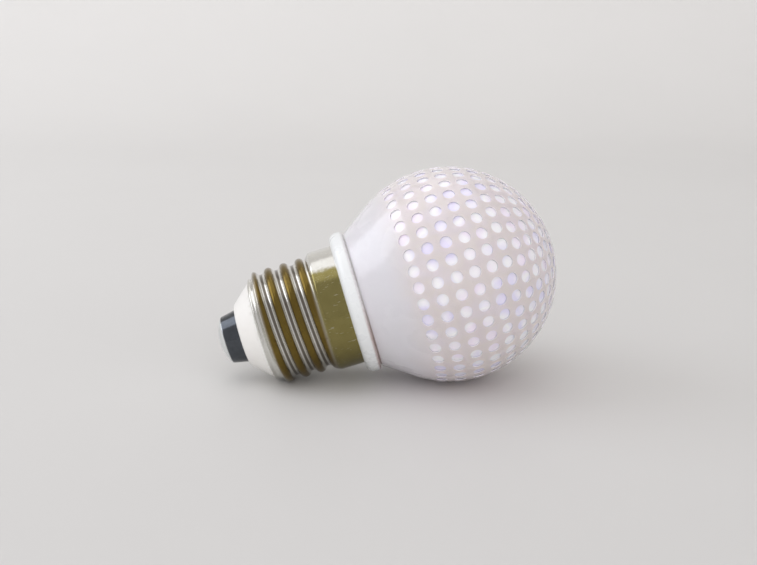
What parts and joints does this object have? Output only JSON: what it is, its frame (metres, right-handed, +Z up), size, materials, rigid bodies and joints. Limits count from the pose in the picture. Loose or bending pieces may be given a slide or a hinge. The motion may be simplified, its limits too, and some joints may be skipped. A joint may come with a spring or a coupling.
{
  "type": "light bulb",
  "caption": "Dead globe lamp lying on its side: pierced white shell over a milky diffuser, white collar, E27 screw cap with a worn skirt, insulator and centre contact.",
  "frame": {"origin": "on the floor that the lamp lies on, under the middle of its box", "axes": "+Z up, the lamp's own axis lies in the XZ plane with the cap towards -X, tipped 16.8 degrees down at the cap"},
  "size_m": [0.0768, 0.049, 0.049],
  "materials": {
    "shell_white": "glossy white, faintly pink",
    "diffuser_milky": "milky, faintly lavender",
    "collar_white": "glossy moulded",
    "cap_metal": "nickel-plated brass, scuffed",
    "insulator_white": "smooth moulded",
    "contact_metal": "polished nickel"
  },
  "bodies": {
    "root": {"globe_shell": "shell_white", "diffuser_globe": "diffuser_milky", "collar_ring": "collar_white", "screw_shell": "cap_metal", "insulator": "insulator_white", "centre_contact": "contact_metal"}
  },
  "joints": []
}
